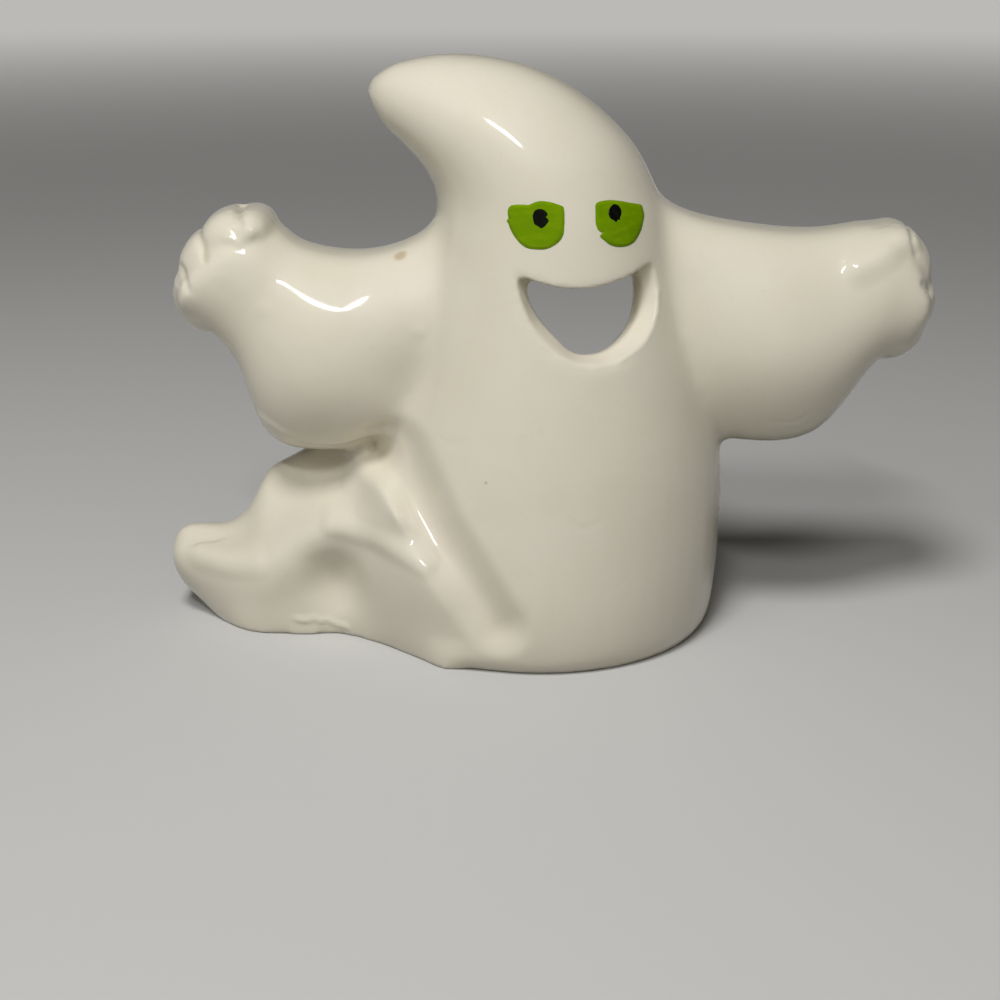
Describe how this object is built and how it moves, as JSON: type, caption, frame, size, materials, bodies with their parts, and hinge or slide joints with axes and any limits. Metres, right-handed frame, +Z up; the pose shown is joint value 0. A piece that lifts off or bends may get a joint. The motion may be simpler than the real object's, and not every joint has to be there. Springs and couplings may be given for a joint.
{
  "type": "ceramic ghost figure",
  "caption": "Free-standing glazed ceramic ghost with a curled head, outstretched sleeves with fists, a swept tail and an open smiling mouth cut right through; hollow cast, closed foot.",
  "frame": {"origin": "centre of the round foot and of its pour hole, on the surface that the figure stands on", "axes": "+Z up; the face looks towards -Y; +X to the right of someone who faces the figure, so the head curls and the tail sweeps towards -X"},
  "size_m": [0.1632, 0.0732, 0.12],
  "materials": {
    "glaze": "glossy clear glaze over cream earthenware",
    "bisque": "bare fired clay, wiped dry of glaze so that it doesn't stick in the kiln",
    "green_paint": "hand-brushed yellow-green ceramic paint under the gloss",
    "black_paint": "hand-dabbed black ceramic paint"
  },
  "bodies": {
    "root": {"body_shell": "glaze", "mouth_passage": "glaze", "raised_arm": "glaze", "level_arm": "glaze", "tail": "glaze", "foot_slab": "bisque", "left_iris": "green_paint", "right_iris": "green_paint", "left_pupil": "black_paint", "right_pupil": "black_paint"}
  },
  "joints": []
}
